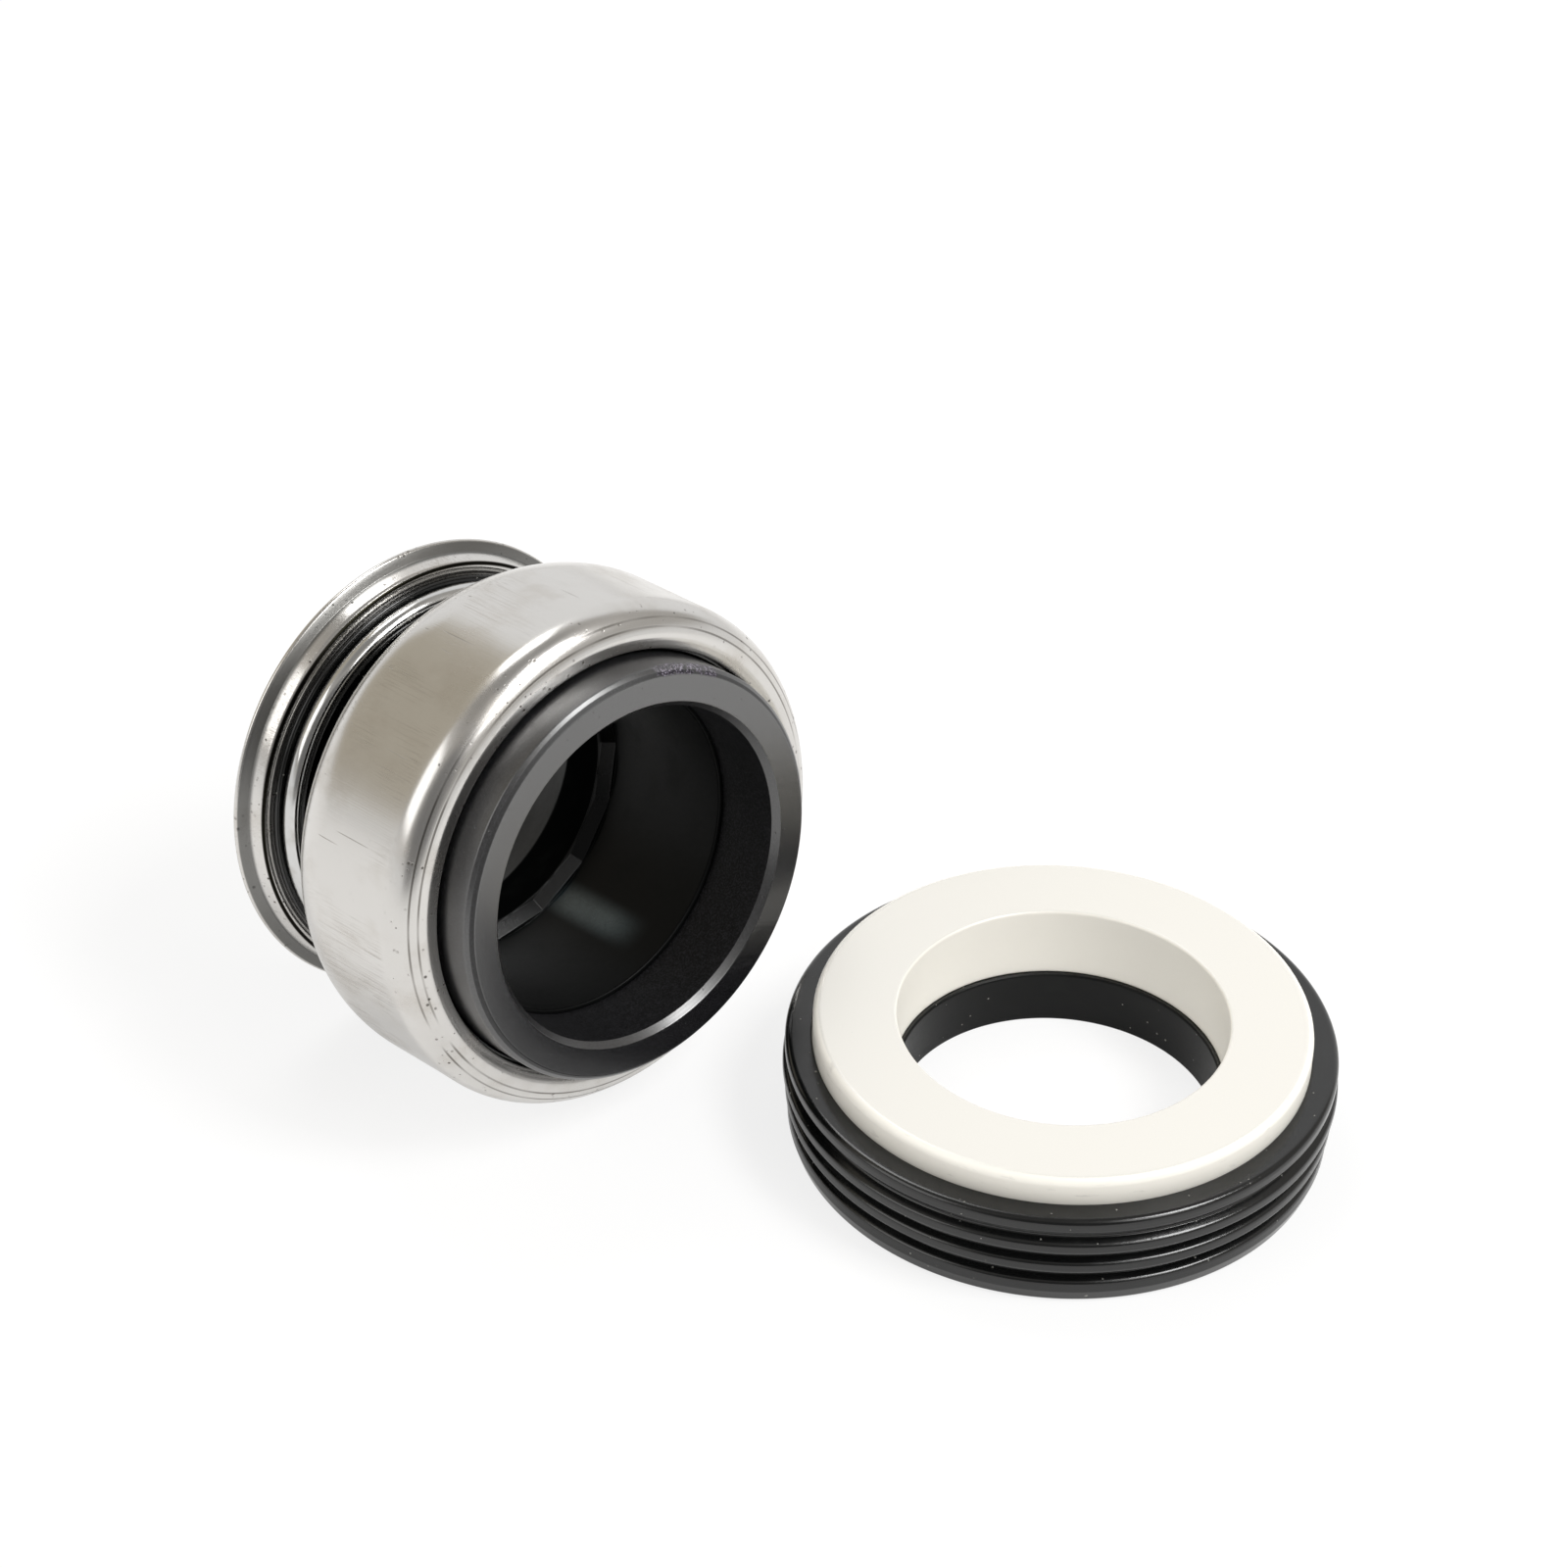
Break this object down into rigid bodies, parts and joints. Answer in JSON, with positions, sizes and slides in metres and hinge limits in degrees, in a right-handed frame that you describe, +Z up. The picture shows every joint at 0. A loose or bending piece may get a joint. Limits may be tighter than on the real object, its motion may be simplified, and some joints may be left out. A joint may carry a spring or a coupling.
{
  "type": "mechanical seal",
  "caption": "Shaft seal set: a rotary head with carbon face, steel case, rubber bellows and coil spring, and a stationary ceramic seat in a ribbed rubber cup.",
  "frame": {"origin": "centre of the seat's rubber bore, on the surface that the set lies on", "axes": "+Z up along the seat's axis; the head lies at -X, its axis turned 46.9 degrees from +X towards -Y and tilted up at its face"},
  "size_m": [0.0698, 0.0441, 0.034],
  "materials": {
    "carbon": "lapped grey face, matt turned sides",
    "steel_sheet": "drawn stainless sheet, satin with fine scratches",
    "spring_steel": "drawn stainless wire, bright",
    "black_rubber": "moulded, semi-gloss",
    "alumina": "white, fine ground"
  },
  "bodies": {
    "tail": {"retainer": "steel_sheet", "bellows": "black_rubber", "spring": "spring_steel", "seat_cup": "black_rubber", "ceramic_seat": "alumina"},
    "face": {"carbon_ring": "carbon", "case_shell": "steel_sheet"}
  },
  "joints": [
    {"name": "face_slide", "type": "slide", "parent": "tail", "child": "face", "axis": [-0.6751, 0.7214, -0.1542], "range_m": [0, 0.004], "stiffness_N_per_m": 1100, "deforming": ["bellows", "spring"]}
  ]
}
